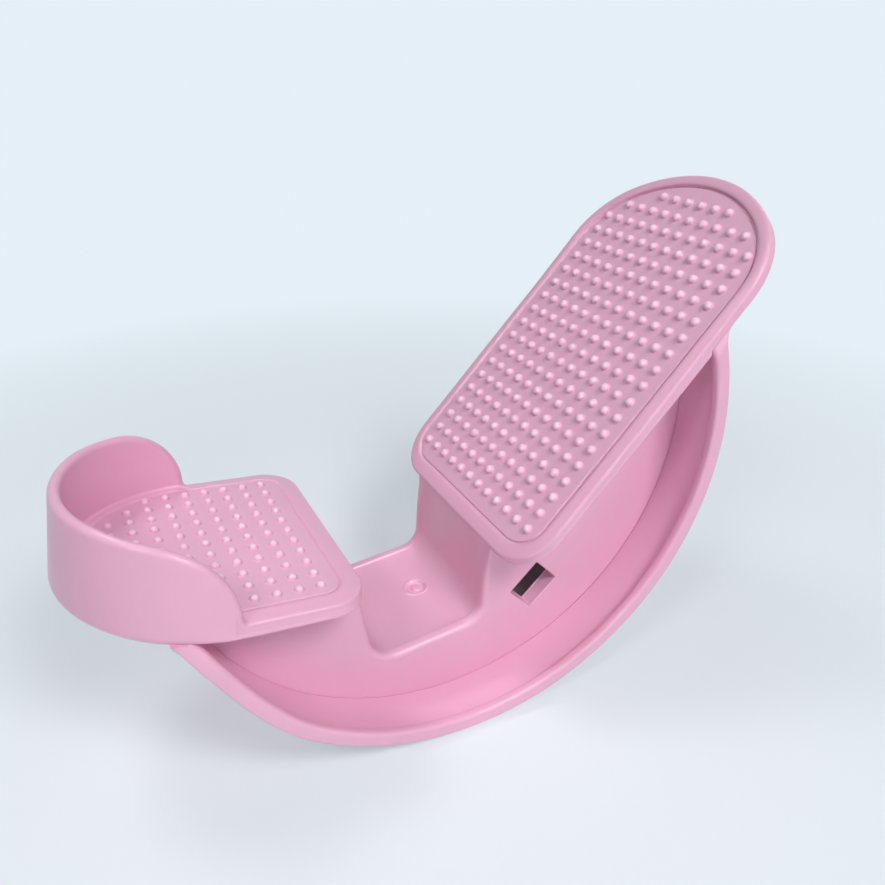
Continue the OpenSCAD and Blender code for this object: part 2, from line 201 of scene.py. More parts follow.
def make(name, shell, place, material, sharp=SHARP, second=None):
    mesh = bpy.data.meshes.new(name)
    points = place(np.array(shell.verts))
    mesh.from_pydata([tuple(p) for p in points], [], shell.faces)
    mesh.polygons.foreach_set("material_index", shell.kinds)
    bm = bmesh.new()
    bm.from_mesh(mesh)
    bmesh.ops.remove_doubles(bm, verts=bm.verts, dist=MERGE_AT)
    bmesh.ops.dissolve_degenerate(bm, edges=bm.edges, dist=THIN_AT)
    bmesh.ops.recalc_face_normals(bm, faces=bm.faces)
    bm.to_mesh(mesh)
    bm.free()
    obj = bpy.data.objects.new(name, mesh)
    bpy.context.scene.collection.objects.link(obj)
    mesh.materials.append(material)
    if second:
        mesh.materials.append(second)
    smooth(obj, sharp)
    return obj


def smooth(obj, sharp):
    obj.data.shade_smooth()
    obj.data.set_sharp_from_angle(angle=math.radians(sharp))


def stand_for(obj, node):
    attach(obj, "root")
    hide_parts(node)


def cut(obj, tools):
    """Cuts tool objects out of a piece and removes them."""
    for tool in tools:
        mod = obj.modifiers.new("cut", "BOOLEAN")
        mod.operation = "DIFFERENCE"
        mod.solver = "EXACT"
        mod.object = tool
    bpy.context.view_layer.update()
    deps = bpy.context.evaluated_depsgraph_get()
    mesh = bpy.data.meshes.new_from_object(obj.evaluated_get(deps))
    obj.modifiers.clear()
    old = obj.data
    obj.data = mesh
    bpy.data.meshes.remove(old)
    for tool in tools:
        data = tool.data
        bpy.data.objects.remove(tool)
        bpy.data.meshes.remove(data)


# Materials
class Nodes:
    """Short calls for a material's node tree."""

    # Sockets of the colour mix node
    FACTOR = 0
    FIRST = 6
    SECOND = 7
    COLOUR = 2

    def __init__(self, name):
        self.material = bpy.data.materials.new(name)
        self.material.use_nodes = True
        self.tree = self.material.node_tree
        self.shader = self.tree.nodes["Principled BSDF"]
        self.spot = self.node("ShaderNodeTexCoord").outputs["Object"]

    def node(self, kind, **settings):
        n = self.tree.nodes.new(kind)
        for key, value in settings.items():
            setattr(n, key, value)
        return n

    def join(self, a, b):
        self.tree.links.new(a, b)

    def fix(self, socket, value):
        self.shader.inputs[socket].default_value = value

    def feed(self, socket, source):
        self.join(source, self.shader.inputs[socket])

    def edge(self):
        """High on outer edges, low in hollows."""
        return self.node("ShaderNodeNewGeometry").outputs["Pointiness"]

    def noise(self, scale, detail=3.0, rough=0.5):
        n = self.node("ShaderNodeTexNoise")
        n.inputs["Scale"].default_value = scale
        n.inputs["Detail"].default_value = detail
        n.inputs["Roughness"].default_value = rough
        self.join(self.spot, n.inputs["Vector"])
        return n.outputs["Fac"]

    def ramp(self, source, low, high, start=0.35, stop=0.65):
        """From low to high while the source goes from start to stop."""
        n = self.node("ShaderNodeMapRange")
        n.inputs["From Min"].default_value = start
        n.inputs["From Max"].default_value = stop
        n.inputs["To Min"].default_value = low
        n.inputs["To Max"].default_value = high
        self.join(source, n.inputs["Value"])
        return n.outputs["Result"]

    def blend(self, factor, first, second):
        """A mix of two colours, each a socket or a plain colour."""
        n = self.node("ShaderNodeMix", data_type="RGBA")
        for value, at in ((factor, self.FACTOR), (first, self.FIRST), (second, self.SECOND)):
            if isinstance(value, bpy.types.NodeSocket):
                self.join(value, n.inputs[at])
            else:
                n.inputs[at].default_value = (*value, 1.0)
        return n.outputs[self.COLOUR]

    def scaled(self, a, b):
        n = self.node("ShaderNodeMath", operation="MULTIPLY")
        self.join(a, n.inputs[0])
        self.join(b, n.inputs[1])
        return n.outputs[0]

    def above(self, place, low, high):
        """From zero to one between two heights over a frame's ground plane."""
        ground, tall = place([(0.0, 0.0, 0.0), (0.0, 0.0, 1.0)])
        up = Vector(tall - ground).normalized()
        n = self.node("ShaderNodeVectorMath", operation="DOT_PRODUCT")
        self.join(self.spot, n.inputs[0])
        n.inputs[1].default_value = up
        level = Vector(ground).dot(up)
        return self.ramp(n.outputs["Value"], 0.0, 1.0, level + low * MM, level + high * MM)

    def bump(self, height, strength, distance, normal=None):
        n = self.node("ShaderNodeBump")
        n.inputs["Strength"].default_value = strength
        n.inputs["Distance"].default_value = distance
        self.join(height, n.inputs["Height"])
        if normal:
            self.join(normal, n.inputs["Normal"])
        return n.outputs["Normal"]


PINK = (0.79, 0.42, 0.578)
PAD_PINK = (0.78, 0.435, 0.595)
# Paler colour painted on the nub tops: a painted highlight.
TIP_HIGHLIGHT_PINK = (0.93, 0.62, 0.77)
TIP_SPAN = (0.5, 1.5)
TIP_SMOOTH = 0.72
# Painted shade: a grey tone in place of the pink for the unlit hollow behind the link slot.
HOLLOW_SHADE_TONE = (0.62, 0.56, 0.60)
RUBBER_TONE = (0.055, 0.048, 0.052)
ZINC_TONE = (0.62, 0.62, 0.64)
SMOOTHER = 0.015
ROUGHER = 0.025


def shade(colour, gain, lift=0.0):
    return tuple(min(1.0, c * gain + lift) for c in colour)


def plastic(name, colour, rough, grain, grain_size, coat, tips=None):
    """Moulded plastic: slow colour drift, a painted highlight on the edges, fine grain and a faint flow
    ripple.

    tips gives the frame of a nub mat: its nubs get a painted highlight, paler towards the top, and are
    smoother there.
    """
    m = Nodes(name)
    pale = shade(colour, gain=1.05, lift=0.01)
    deep = shade(colour, gain=0.97)
    slow = m.ramp(m.noise(scale=14.0), low=0.0, high=0.6, start=0.3, stop=0.7)
    drift = m.blend(slow, deep, pale)
    dots = m.ramp(m.noise(scale=900.0, detail=2.0), low=0.0, high=0.10, start=0.55, stop=0.75)
    fleck = m.blend(dots, drift, pale)
    # Outer edges are painted paler: a painted highlight.
    paler_edges = m.ramp(m.edge(), low=0.0, high=0.35, start=0.52, stop=0.60)
    tone = m.blend(paler_edges, fleck, pale)
    patch = m.ramp(m.noise(scale=60.0, detail=4.0), low=rough - SMOOTHER, high=rough + ROUGHER)
    # The nub tops are painted paler as a painted highlight, and their roughness drops.
    if tips:
        top = m.above(tips, *TIP_SPAN)
        tone = m.blend(top, tone, TIP_HIGHLIGHT_PINK)
        patch = m.scaled(patch, m.ramp(top, low=1.0, high=TIP_SMOOTH, start=0.0, stop=1.0))
    m.feed("Base Color", tone)
    m.feed("Roughness", patch)
    m.fix("Coat Weight", coat)
    m.fix("Coat Roughness", 0.3)
    m.fix("IOR", 1.49)
    m.fix("Subsurface Weight", 0.06)
    m.fix("Subsurface Radius", (0.9, 0.5, 0.6))
    m.fix("Subsurface Scale", 0.002)
    ripple = m.bump(m.noise(scale=120.0, detail=2.0), strength=0.05, distance=0.0004)
    fine = m.noise(scale=grain_size, rough=0.6)
    m.feed("Normal", m.bump(fine, strength=grain, distance=0.00006, normal=ripple))
    return m.material


def rubber(name, colour):
    """Dull rubber with dusty patches and a coarse grain."""
    m = Nodes(name)
    dust = shade(colour, gain=1.9, lift=0.02)
    tone = m.blend(m.ramp(m.noise(scale=40.0, detail=5.0, rough=0.65), low=0.0, high=0.5), colour, dust)
    paler_edges = m.ramp(m.edge(), low=0.0, high=0.6, start=0.52, stop=0.62)
    m.feed("Base Color", m.blend(paler_edges, tone, dust))
    m.feed("Roughness", m.ramp(m.noise(scale=150.0, detail=4.0), low=0.72, high=0.9))
    m.feed("Normal", m.bump(m.noise(scale=1800.0, rough=0.6), strength=0.35, distance=0.0001))
    return m.material


def steel(name, colour):
    """Zinc-plated steel with cloudy plating and small scuffs."""
    m = Nodes(name)
    dull = shade(colour, gain=0.78)
    cloud = m.ramp(m.noise(scale=300.0, detail=5.0, rough=0.65), low=0.0, high=0.8)
    m.feed("Base Color", m.blend(cloud, colour, dull))
    m.fix("Metallic", 1.0)
    m.feed("Roughness", m.ramp(m.noise(scale=700.0, detail=4.0), low=0.26, high=0.42))
    m.feed("Normal", m.bump(m.noise(scale=2500.0), strength=0.2, distance=0.00005))
    return m.material


SHELL_FINISH = {"rough": 0.30, "grain": 0.10, "grain_size": 1500.0, "coat": 0.05}
INNER_FINISH = {"rough": 0.6, "grain": 0.2, "grain_size": 1500.0, "coat": 0.0}
PAD_FINISH = {"rough": 0.50, "grain": 0.35, "grain_size": 1200.0, "coat": 0.0}
shell_pink = plastic("moulded_pink", PINK, **SHELL_FINISH)
hollow_painted_shade = plastic("hollow_inside_painted_shade", HOLLOW_SHADE_TONE, **INNER_FINISH)
heel_pad_pink = plastic("heel_mat_pink", PAD_PINK, tips=from_heel, **PAD_FINISH)
toe_pad_pink = plastic("toe_mat_pink", PAD_PINK, tips=from_toe, **PAD_FINISH)
tread_rubber = rubber("tread_rubber", RUBBER_TONE)
screw_steel = steel("zinc_steel", ZINC_TONE)


def mirrored(half):
    """A closed loop from its half with y at or above zero, ends on the middle line."""
    other = [(x, -y, z) for x, y, z in reversed(half[1:-1])]
    return half + other


# Heel tray
HEEL_HALF = 52.0
HEEL_BACK = -86.0
HEEL_FRONT = -38.0
HEEL_CORNER = 14.4
RIM_TOP = 0.1
CUP_H = 29.2
CUP_X = -112.6
CUP_FOOT_R = 2.5
CUP_OUT = -1.2
CREST_R = 2.15
WALL_LEAN = 0.09
LEAN_FROM = -2.5

# Profiles of the rim and the cup wall: inset from the plan and height
RIM_LOW = [(8, -5), (3, -5), (2.4, -6.2), (0.5, -6.4), (-0.1, -6.25), (-0.4, -5.95), (-0.48, -5.55),
           (-0.38, -5.15), (-0.1, -4.75), (0.05, -4.35)]
CUP_LOW = [(8, -5), (3, -5), (2.2, -5), (1.5, -5), (0.7, -4.85), (0.0, -4.5), (-0.55, -3.95),
           (-0.95, -3.3), (-1.15, -2.6), (-1.2, -1.8)]
RIM_OVER = [(0.02, -2.6), (0, -1.75), (0.05, -1.48), (0.19, -1.24), (0.4, -1.06), (0.66, -0.95),
            (1.6, -0.76), (2.8, -0.53), (4.0, -0.28), (4.9, -0.05), (5.35, 0.05), (5.7, 0.08)]
RIM_IN = [(5.95, 0.05), (6.15, -0.01), (6.33, -0.1), (6.48, -0.21), (6.61, -0.34), (6.73, -0.46),
          (6.84, -0.55), (6.96, -0.6), (7.14, -0.6)]
CUP_IN = [(3.42, 1.2), (3.5, 0.8), (3.75, 0.45), (4.2, 0.25), (4.8, 0.16), (5.6, 0.12), (6.3, 0.02),
          (6.75, -0.35), (7.14, -0.6)]
RECESS = [(7.14, -2.7), (8, -2.7)]
CREST_RISE = 1.7
RISE_SPAN = (-106.0, -130.0)
CUP_SAG = 0.9
SAG_SPAN = (-132.0, -108.0)
FRONT_OUT = 1.15
LIP_SPAN = (-77.0, -106.0)
FRONT_LIP_LESS = 0.7
FRONT_STEPS = 8
FRONT_CORNER_STEPS = 14
HEEL_SIDE_STEPS = 8
CUP_FOOT_STEPS = 14
CREST_STEPS = 30


def crest_points():
    """The cup wall's half-round edge: inset from the wall's outer face and depth below the crest."""
    count = len(RIM_OVER) - 1
    turn = [math.pi * (1 - k / count) for k in range(count + 1)]
    return [(CREST_R * (1 + math.cos(t)), CREST_R * (1 - math.sin(t))) for t in turn]


CUP_OVER = crest_points()


def lean_in(z):
    return WALL_LEAN * max(0.0, z - LEAN_FROM)


def heel_at_x(d, x):
    """The heel outline's point at a place along the rocker, moved in by d."""
    half = HEEL_HALF - d
    if x >= HEEL_BACK:
        return (x, half)
    return (x, math.sqrt(max(0.0, half * half - (x - HEEL_BACK) ** 2)))


def heel_front_points():
    """Front and corner stations: a point on the outline and its outward normal."""
    corner_y = HEEL_HALF - HEEL_CORNER
    corner_x = HEEL_FRONT - HEEL_CORNER
    out = [((HEEL_FRONT, y), (1.0, 0.0)) for y in steps(0, corner_y, FRONT_STEPS)]
    for p in ring_points((0, 0), 1.0, 0, 90, FRONT_CORNER_STEPS)[1:-1]:
        out.append(((corner_x + HEEL_CORNER * p[0], corner_y + HEEL_CORNER * p[1]), p))
    return out


def heel_section(locate, crest, normal, b, lip=1.0, sag=1.0, low_b=0.0):
    """One station of the tray, a rim where b is 0 and a cup wall where it is 1.

    locate(d, shift) gives the plan point that lies d inside the outline.
    """
    rows = []
    back = -CREST_R * normal[0] * b
    for (rd, rz), (cd, cz) in zip(RIM_LOW, CUP_LOW):
        d = mix(rd * lip if rd < 0 else rd, cd + lean_in(cz), low_b)
        low = cz - CUP_SAG * sag * max(0.0, (LEAN_FROM - cz) / (LEAN_FROM - CUP_LOW[0][1]))
        rows.append((*locate(d, back), mix(rz, low, low_b)))
    for (rd, rz), (cd, depth) in zip(RIM_OVER, CUP_OVER):
        cz = crest - depth * normal[1]
        d = mix(rd, CUP_OUT + cd + lean_in(cz), b)
        rows.append((*locate(d, -depth * normal[0] * b), mix(rz, cz, b)))
    for (rd, rz), (cd, cz) in zip(RIM_IN, CUP_IN):
        rows.append((*locate(mix(rd, cd, b), back), mix(rz, cz, b)))
    for d, z in RECESS:
        rows.append((*locate(d, back), z))
    return rows


def heel_front_at(p, n, d):
    """The front edge stands a little proud of the plan that the mat follows."""
    reach = d - FRONT_OUT * n[0] * clamp(1.0 - d / RIM_IN[0][0])
    return (p[0] - n[0] * reach, p[1] - n[1] * reach)


def heel_back_at(d, u):
    """The outline's point between the top of the cup's side (u 0) and the middle of the back (u 1)."""
    half = HEEL_HALF - d
    start = math.acos((CUP_X - HEEL_BACK) / half)
    a = mix(start, math.pi, u)
    y = half * math.sin(a) if u < 1 else 0.0
    return (HEEL_BACK + half * math.cos(a), y)


def heel_sections():
    """Half the tray's stations, from the middle of the front to the middle of the back."""
    out = []
    up = (0.0, 1.0)
    for p, n in heel_front_points():
        lip = 1.0 - FRONT_LIP_LESS * ease(n[0])
        out.append(heel_section(lambda d, s, p=p, n=n: heel_front_at(p, n, d), RIM_TOP, up, 0.0, lip=lip))
    foot_z = RIM_TOP + CUP_FOOT_R
    foot_x = CUP_X + math.sqrt((CUP_H + CUP_FOOT_R) ** 2 - foot_z ** 2)
    first = math.degrees(math.atan2(foot_z, foot_x - CUP_X))
    path = [(x, RIM_TOP, up, 0.0) for x in steps(HEEL_FRONT - HEEL_CORNER, foot_x, HEEL_SIDE_STEPS)]
    for k, a in enumerate(steps(270, 180 + first, CUP_FOOT_STEPS)[1:], 1):
        t = math.radians(a)
        n = (-math.cos(t), -math.sin(t))
        path.append((foot_x - CUP_FOOT_R * n[0], foot_z - CUP_FOOT_R * n[1], n, ease(k / CUP_FOOT_STEPS)))
    for a in steps(first, 90, CREST_STEPS)[1:]:
        t = math.radians(a)
        path.append((CUP_X + CUP_H * math.cos(t), CUP_H * math.sin(t), (math.cos(t), math.sin(t)), 1.0))
    for x, z, n, b in path:
        crest = z + CREST_RISE * share(x, RISE_SPAN)
        out.append(heel_section(lambda d, s, x=x: heel_at_x(d, x + s), crest, n, b,
                                sag=share(x, SAG_SPAN), low_b=share(x, LIP_SPAN)))
    for u in steps(0, 1, CREST_STEPS)[1:]:
        x = heel_back_at(CUP_OUT + CREST_R, u)[0]
        crest = CUP_H + CREST_RISE * share(x, RISE_SPAN)
        out.append(heel_section(lambda d, s, u=u: heel_back_at(d, u), crest, up, 1.0,
                                sag=share(x, SAG_SPAN), low_b=1.0))
    return out


def build_tray(name, sections, place):
    """A tray from half its stations: each row through them becomes a closed loop."""
    shell = Shell()
    shell.solid([mirrored(list(row)) for row in zip(*sections)])
    return make(name, shell, place, shell_pink)


# Toe tray
TOE_HALF = 56.6
TOE_START = -19.2
TOE_CORNER = 20.0
SHOULDER = (117.3, 16.6)
SHOULDER_R = 40.0
TIP_X = 94.8
TIP_R = 68.0
SHOULDER_TURN = math.degrees(math.atan2(SHOULDER[1], SHOULDER[0] - TIP_X))
HEEL_SIDE = 6.9 / 5.3
SKIRT_END = (92.4, 94.4)
TOE_EDGE_OUT = 0.5
TOE_SIDE_OUT = 0.8
RIM_SLOPE = 0.9
TRAY_UNDER = -4.0
SKIRT_DROP = 1.6
SKIRT_LIP = 0.12
RIM_UP = (0.3, 1.15)
RIM_UP_SPAN = (10.0, 160.0)
SLOPE_SPAN = (80.0, 140.0)
SIDE_OUT_SPAN = (40.0, 120.0)
RIM_WIDE = 5.2
RIM_FROM = -2.35
START_STEPS = 8
CORNER_STEPS = 16
SIDE_STEPS = 14
SKIRT_END_STEPS = 6
LAST_STEPS = 2
SHOULDER_STEPS = 18
TIP_STEPS = 14


def toe_outline():
    """Half outline: (t, y), outward normal, and how much of the heel side's wider rim applies."""
    bend = (TOE_START + TOE_CORNER, TOE_HALF - TOE_CORNER)
    out = [((TOE_START, y), (-1.0, 0.0), 1.0) for y in steps(0, bend[1], START_STEPS)]
    for p in ring_points((0, 0), 1.0, 180, 90, CORNER_STEPS)[1:]:
        out.append(((bend[0] + TOE_CORNER * p[0], bend[1] + TOE_CORNER * p[1]), p, p[0] * p[0]))
    side = steps(bend[0], SKIRT_END[0], SIDE_STEPS)[1:] + steps(*SKIRT_END, SKIRT_END_STEPS)[1:]
    side += steps(SKIRT_END[1], SHOULDER[0], LAST_STEPS)[1:]
    out += [((t, TOE_HALF), (0.0, 1.0), 0.0) for t in side]
    for p in ring_points((0, 0), 1.0, 90, SHOULDER_TURN, SHOULDER_STEPS)[1:]:
        out.append(((SHOULDER[0] + SHOULDER_R * p[0], SHOULDER[1] + SHOULDER_R * p[1]), p, 0.0))
    for p in ring_points((0, 0), 1.0, SHOULDER_TURN, 0, TIP_STEPS)[1:]:
        out.append(((TIP_X + TIP_R * p[0], TIP_R * p[1]), p, 0.0))
    return out


def toe_section(p, n, wide):
    """One station of the tray, from under its floor, round the skirt and the rim, to the mat's seat."""
    k = 1.0 - share(p[0], SKIRT_END)
    under = TRAY_UNDER
    low = under - SKIRT_DROP * k
    lip = SKIRT_LIP * k * (1.0 - wide)
    up = mix(*RIM_UP, share(p[0], RIM_UP_SPAN))
    top = up - RIM_SLOPE * (1.0 - wide) * (1.0 - share(p[0], SLOPE_SPAN))
    skirt = [(9, under), (4.4, under), (4.2, mix(under, under - 0.3, k)), (4, mix(under, low + 0.4, k)),
             (3.6, low), (2.4, low), (1 - lip, low), (0.3 - lip, low + 0.1), (-lip, low + 0.6),
             (-lip, low + 1.3), (-lip, mix(-2.6, -4.3, k)), (-0.55 * lip, mix(-2.5, -3.95, k)),
             (-0.1 * lip, mix(-2.45, -3.8, k)), (0, mix(-2.4, -3.5, k))]
    rim = [(0, top - 1.5), (0, top - 1.2), (0.06, top - 0.83), (0.23, top - 0.5), (0.5, top - 0.23),
           (0.83, top - 0.06), (1.2, mix(top, up, 0.06)), (2.4, mix(top, up, 0.5)),
           (3.6, mix(top, up, 0.9)), (4.2, up - 0.05), (4.6, up - 0.17), (4.95, up - 0.36),
           (5.2, min(up - 0.62, -0.2)), (5.4, -0.45), (5.6, -0.6), (5.95, -0.6), (5.95, -1.5), (7, -1.5)]
    out = []
    edge = TOE_EDGE_OUT * wide + TOE_SIDE_OUT * n[1] ** 2 * (1.0 - share(p[0], SIDE_OUT_SPAN))
    for d, z in skirt + rim:
        reach = d * mix(1.0, HEEL_SIDE, wide) if d >= 0 and z > RIM_FROM else d
        grow = edge * clamp(1.0 - d / RIM_WIDE)
        x, y = p[0] - n[0] * reach, p[1] - n[1] * reach
        out.append((x + n[0] * grow, y + n[1] * grow, z))
    return out


# Nub mats
PITCH = 8.0
NUB_R = 2.75
NUB = [(2.2, 0), (2.06, 0.08), (2.0, 0.25), (1.93, 0.55), (1.78, 0.9), (1.55, 1.22), (1.25, 1.49),
       (0.9, 1.7), (0.5, 1.84), (0.2, 1.89)]
NUB_TOP = 1.9
NUB_SIDES = 28
NUB_FREE = 0.08
HEEL_NUB = (0.88, 0.86)
FLAT_FROM = 0.5
MAT_UNDER_IN = 1.0
NUB_NUDGES = 4
MAT_BACK_STEPS = 40
MAT_EDGE = [(0.48, 0.0), (0.28, -0.05), (0.12, -0.16), (0.03, -0.3), (0.0, -0.42)]


def nub_centres(room, first, rows, step, odd):
    """Nub centres in even rows, as many in each row as there is room for."""
    out = []
    for i in range(rows):
        u = first + i * step
        width = room(u)
        count = 2 * math.floor(width / PITCH) + 1 if odd else 2 * math.floor(width / PITCH + 0.5)
        out.extend((u, (k - (count - 1) / 2) * PITCH) for k in range(count))
    return out


def chord(r, d):
    return math.sqrt(max(0.0, r * r - max(0.0, d) ** 2))


def gap_to(loop, u, v):
    """Distance from a point to a closed loop."""
    ahead = np.roll(loop, -1, 0) - loop
    part = np.clip(((np.array([u, v]) - loop) * ahead).sum(1) / (ahead ** 2).sum(1), 0, 1)
    near = loop + ahead * part[:, None] - (u, v)
    return float(np.sqrt((near ** 2).sum(1).min()))


def build_mat(name, outline, inset, thick, centres, place, material, nub_size=(1.0, 1.0)):
    """outline(d) is the closed loop of the tray's plan moved in by d."""
    wide, tall = nub_size
    shell = Shell()
    rows = [[(x, y, -thick) for x, y in outline(inset + MAT_UNDER_IN)],
            [(x, y, -thick) for x, y in outline(inset)]]
    for d, z in reversed(MAT_EDGE):
        rows.append([(x, y, z) for x, y in outline(inset + d)])
    rows.append([(x, y, 0.0) for x, y in outline(inset + FLAT_FROM)])
    ids = shell.loft(rows)
    shell.face(ids[0])
    loops = [[(x, y, i) for (x, y, _), i in zip(rows[-1], ids[-1])]]
    edge = np.array(outline(inset + FLAT_FROM))
    need = NUB[0][0] * wide + NUB_FREE
    spots = []
    for u, v in centres:
        for _ in range(NUB_NUDGES):
            v -= math.copysign(max(0.0, need + NUB_FREE - gap_to(edge, u, v)), v)
        ring = max(need, min(NUB_R, gap_to(edge, u, v) - NUB_FREE))
        profile = [(ring, 0.0)] + [(r * wide, z * tall) for r, z in NUB]
        stack = turned(profile, NUB_SIDES, u, v)
        nub = shell.loft(stack)
        top = shell.add([(u, v, NUB_TOP * tall)])[0]
        for k in range(NUB_SIDES):
            shell.face((nub[-1][k], nub[-1][(k + 1) % NUB_SIDES], top))
        loops.append([(x, y, i) for (x, y, _), i in zip(stack[0], nub[0])])
        spots.append((u, v, ring * math.cos(math.pi / NUB_SIDES)))
    spots = np.array(spots)

    def keep(x, y):
        return (np.hypot(spots[:, 0] - x, spots[:, 1] - y) > spots[:, 2]).all()

    shell.fill(loops, lambda x, y: (x, y, 0.0), keep)
    return make(name, shell, place, material)


def loop2(points):
    return points + [(x, -y) for x, y in reversed(points[1:-1])]


def heel_outline(d):
    half = [(p[0] - n[0] * d, p[1] - n[1] * d) for p, n in heel_front_points()]
    half += [heel_at_x(d, x) for x in steps(HEEL_FRONT - HEEL_CORNER, HEEL_BACK, HEEL_SIDE_STEPS)]
    r = HEEL_HALF - d
    half += ring_points((HEEL_BACK, 0), r, 90, 180, MAT_BACK_STEPS)[1:-1] + [(HEEL_BACK - r, 0.0)]
    return loop2(half)


def toe_loop(d, heel_d):
    half = []
    for p, n, wide in toe_outline():
        reach = d + (heel_d - d) * wide
        half.append((p[0] - n[0] * reach, p[1] - n[1] * reach))
    return loop2(half)


# Insets, thicknesses and nub rows (first row and number of rows) of the mats
HEEL_MAT_IN = 7.2
TOE_MAT_IN = 6.0
TOE_MAT_HEEL = 1.3
HEEL_NUB_CLEAR = 2.1
TOE_NUB_CLEAR = 2.8
HEEL_MAT_T = 2.6
TOE_MAT_T = 1.4
HEEL_ROWS = (-52.6, 9)
TOE_ROWS = (-3.6, 20)


def heel_room(x):
    return chord(HEEL_HALF - HEEL_MAT_IN, HEEL_BACK - x) - HEEL_NUB_CLEAR


def toe_room(t):
    side = SHOULDER[1] + chord(SHOULDER_R - TOE_MAT_IN, t - SHOULDER[0])
    return min(side, chord(TIP_R - TOE_MAT_IN, t - TIP_X)) - TOE_NUB_CLEAR


def build_mats():
    heel = build_mat("heel_mat", heel_outline, HEEL_MAT_IN, HEEL_MAT_T,
                     nub_centres(heel_room, *HEEL_ROWS, -PITCH, True), from_heel, heel_pad_pink, HEEL_NUB)
    toe = build_mat("toe_mat", lambda d: toe_loop(d, d + TOE_MAT_HEEL), TOE_MAT_IN, TOE_MAT_T,
                    nub_centres(toe_room, *TOE_ROWS, PITCH, False), from_toe, toe_pad_pink)
    return heel, toe


# Centre body
BODY_HALF = 34.0
BODY_R = 108.9
HEEL_DECK = -44.6
TOE_DECK = -48.9
DECK_STEP = -14.5
DECK_TOP = -47.3
SADDLE_HEEL = -37.4
SADDLE_TOE = 22.0
SADDLE_TOE_LEAN = 2.0
SADDLE_DEPTH = -82.9
SADDLE_LEAN = 14.5
SADDLE_RISE = 11.5
SADDLE_HEEL_R = 12.0
SADDLE_TOE_R = 9.0
WALL_FOOT = 17.0
UPSTAND_T = -19.55
UPSTAND_W = -43.7
TUCK_G = 0.65
TUCK_ROWS = 3
GATE_AT = (8.6, 2.6)
GATE_R = 6.4
GATE = [(0.0, -0.1), (1.4, -0.1), (1.8, 0.15), (2.2, 0.8), (3.4, 0.9), (4.1, 0.55), (4.5, -0.1),
        (4.9, -0.4), (5.3, -0.4), (5.8, -0.1), (6.3, 0.0), (9.0, 0.0)]
GATE_STEPS = 42
FLOOR_G = 1.6
FLOOR_COLUMNS = ((-13.0, -8.0), (12.0, 14.5))
LIPS = [(17.0, 1.6), (20.0, 1.52), (23.0, 1.3), (25.5, 0.98), (27.3, 0.68), (28.5, 0.42), (28.9, 0.28),
        (29.15, 0.0), (29.35, -0.28), (29.65, -0.43), (30.0, -0.5), (31.2, -0.5), (31.9, -0.44),
        (32.6, -0.24), (33.2, 0.15), (33.65, 0.7), (33.9, 1.25), (34.0, 1.8), (34.0, 2.4)]
SIDE_G = 2.4
SADDLE_HEEL_STEPS = (5, 16)
SADDLE_FLOOR_STEPS = (5, 2)
SADDLE_TOE_STEPS = (14, 6)
DECK_STEPS = 2
TOE_DECK_STEPS = 24
ARC_STEPS = 120
HEEL_DECK_STEPS = 12


def corner(v, a, b, r):
    """A rounded corner at v between two directions: where the arc starts, its centre, where it ends."""
    h = math.acos(float(a @ b)) / 2
    centre = v + (a + b) / np.linalg.norm(a + b) * r / math.sin(h)
    return v + a * r / math.tan(h), centre, v + b * r / math.tan(h)


def arc2(centre, a, b, count):
    """Points of the short arc from a to b about a centre."""
    u, v = a - centre, b - centre
    start = math.atan2(u[1], u[0])
    turn = (math.atan2(v[1], v[0]) - start + math.pi) % (2 * math.pi) - math.pi
    r = np.linalg.norm(u)
    angles = [start + turn * k / count for k in range(count + 1)]
    return [centre + r * np.array([math.cos(a), math.sin(a)]) for a in angles]


def toe_point(t, w):
    """A point of the side drawing from its place along and across the toe tray."""
    c, s = math.cos(TOE_ANGLE), math.sin(TOE_ANGLE)
    return np.array([t * c - w * s, t * s + w * c])


def floor_middle(g):
    return np.array([0, SADDLE_DEPTH]) + along(SADDLE_RISE - 90) * g


def gate_centre(g):
    """The gate's middle in the side drawing, on the saddle floor moved out by g."""
    middle, floor = floor_middle(g), along(SADDLE_RISE)
    return middle + floor * ((GATE_AT[0] - middle[0]) / floor[0])


